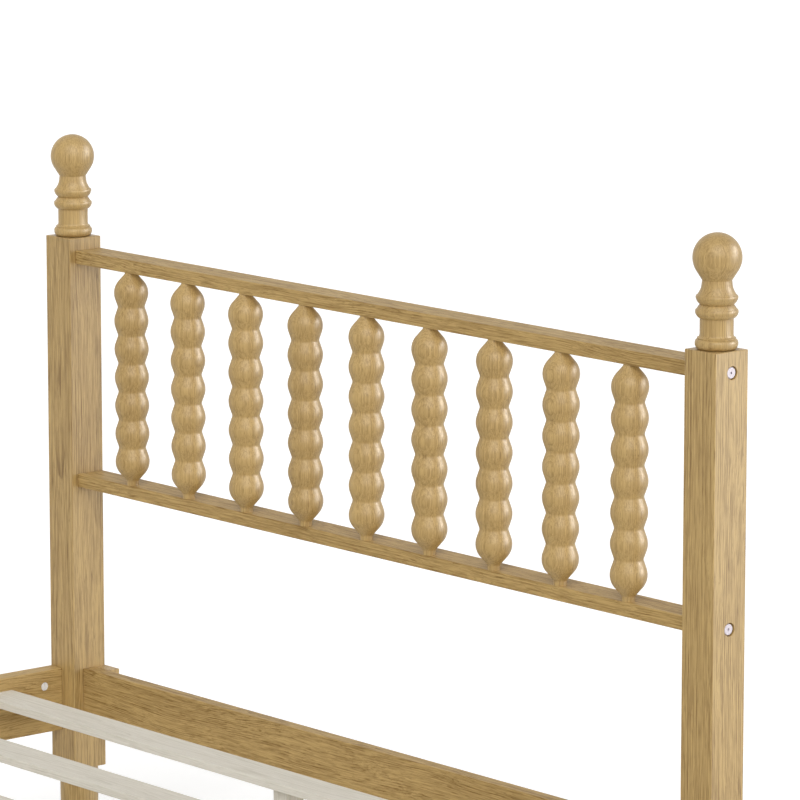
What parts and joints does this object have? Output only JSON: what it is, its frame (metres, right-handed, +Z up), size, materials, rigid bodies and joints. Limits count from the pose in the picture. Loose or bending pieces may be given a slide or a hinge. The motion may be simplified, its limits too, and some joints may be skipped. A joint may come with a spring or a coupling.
{
  "type": "spindle bed",
  "caption": "Wooden spindle bed: turned posts with ball finials, end frames with rows of beaded spindles, bolted side rails, and slats on ledgers and centre legs.",
  "frame": {"origin": "on the floor, in the middle of the bed's footprint", "axes": "+X to the right seen from the foot, +Y from the foot to the head, +Z up"},
  "size_m": [1.6204, 2.1594, 1.2092],
  "materials": {
    "oak_upright": "satin",
    "oak_cross": "satin",
    "oak_side": "satin",
    "oak_turned": "satin",
    "raw_slat": "matt",
    "raw_leg": "matt",
    "bright_zinc": "bright zinc plate"
  },
  "bodies": {
    "root": {"head_post_left": "oak_upright", "head_finial_left": "oak_turned", "head_cleat_left": "oak_upright", "head_post_right": "oak_upright", "head_finial_right": "oak_turned", "head_cleat_right": "oak_upright", "head_top_rail": "oak_cross", "head_spindle_rail": "oak_cross", "head_board": "oak_cross", "head_spindle_1": "oak_turned", "head_spindle_2": "oak_turned", "head_spindle_3": "oak_turned", "head_spindle_4": "oak_turned", "head_spindle_5": "oak_turned", "head_spindle_6": "oak_turned", "head_spindle_7": "oak_turned", "head_spindle_8": "oak_turned", "head_spindle_9": "oak_turned", "foot_post_left": "oak_upright", "foot_finial_left": "oak_turned", "foot_cleat_left": "oak_upright", "foot_post_right": "oak_upright", "foot_finial_right": "oak_turned", "foot_cleat_right": "oak_upright", "foot_top_rail": "oak_cross", "foot_spindle_rail": "oak_cross", "foot_board": "oak_cross", "foot_spindle_1": "oak_turned", "foot_spindle_2": "oak_turned", "foot_spindle_3": "oak_turned", "foot_spindle_4": "oak_turned", "foot_spindle_5": "oak_turned", "foot_spindle_6": "oak_turned", "foot_spindle_7": "oak_turned", "foot_spindle_8": "oak_turned", "foot_spindle_9": "oak_turned", "side_rail_left": "oak_side", "ledger_left": "oak_side", "side_rail_right": "oak_side", "ledger_right": "oak_side", "slat_1": "raw_slat", "slat_2": "raw_slat", "slat_3": "raw_slat", "slat_4": "raw_slat", "slat_5": "raw_slat", "slat_6": "raw_slat", "slat_7": "raw_slat", "slat_8": "raw_slat", "slat_9": "raw_slat", "centre_leg_1": "raw_leg", "centre_leg_2": "raw_leg", "centre_leg_3": "raw_leg", "leg_dowels": "raw_leg", "rail_bolts": "bright_zinc", "rail_nuts": "bright_zinc", "side_bolts": "bright_zinc", "side_nuts": "bright_zinc", "slat_screws": "bright_zinc", "frame_screws": "bright_zinc", "cleat_screws": "bright_zinc"}
  },
  "joints": []
}
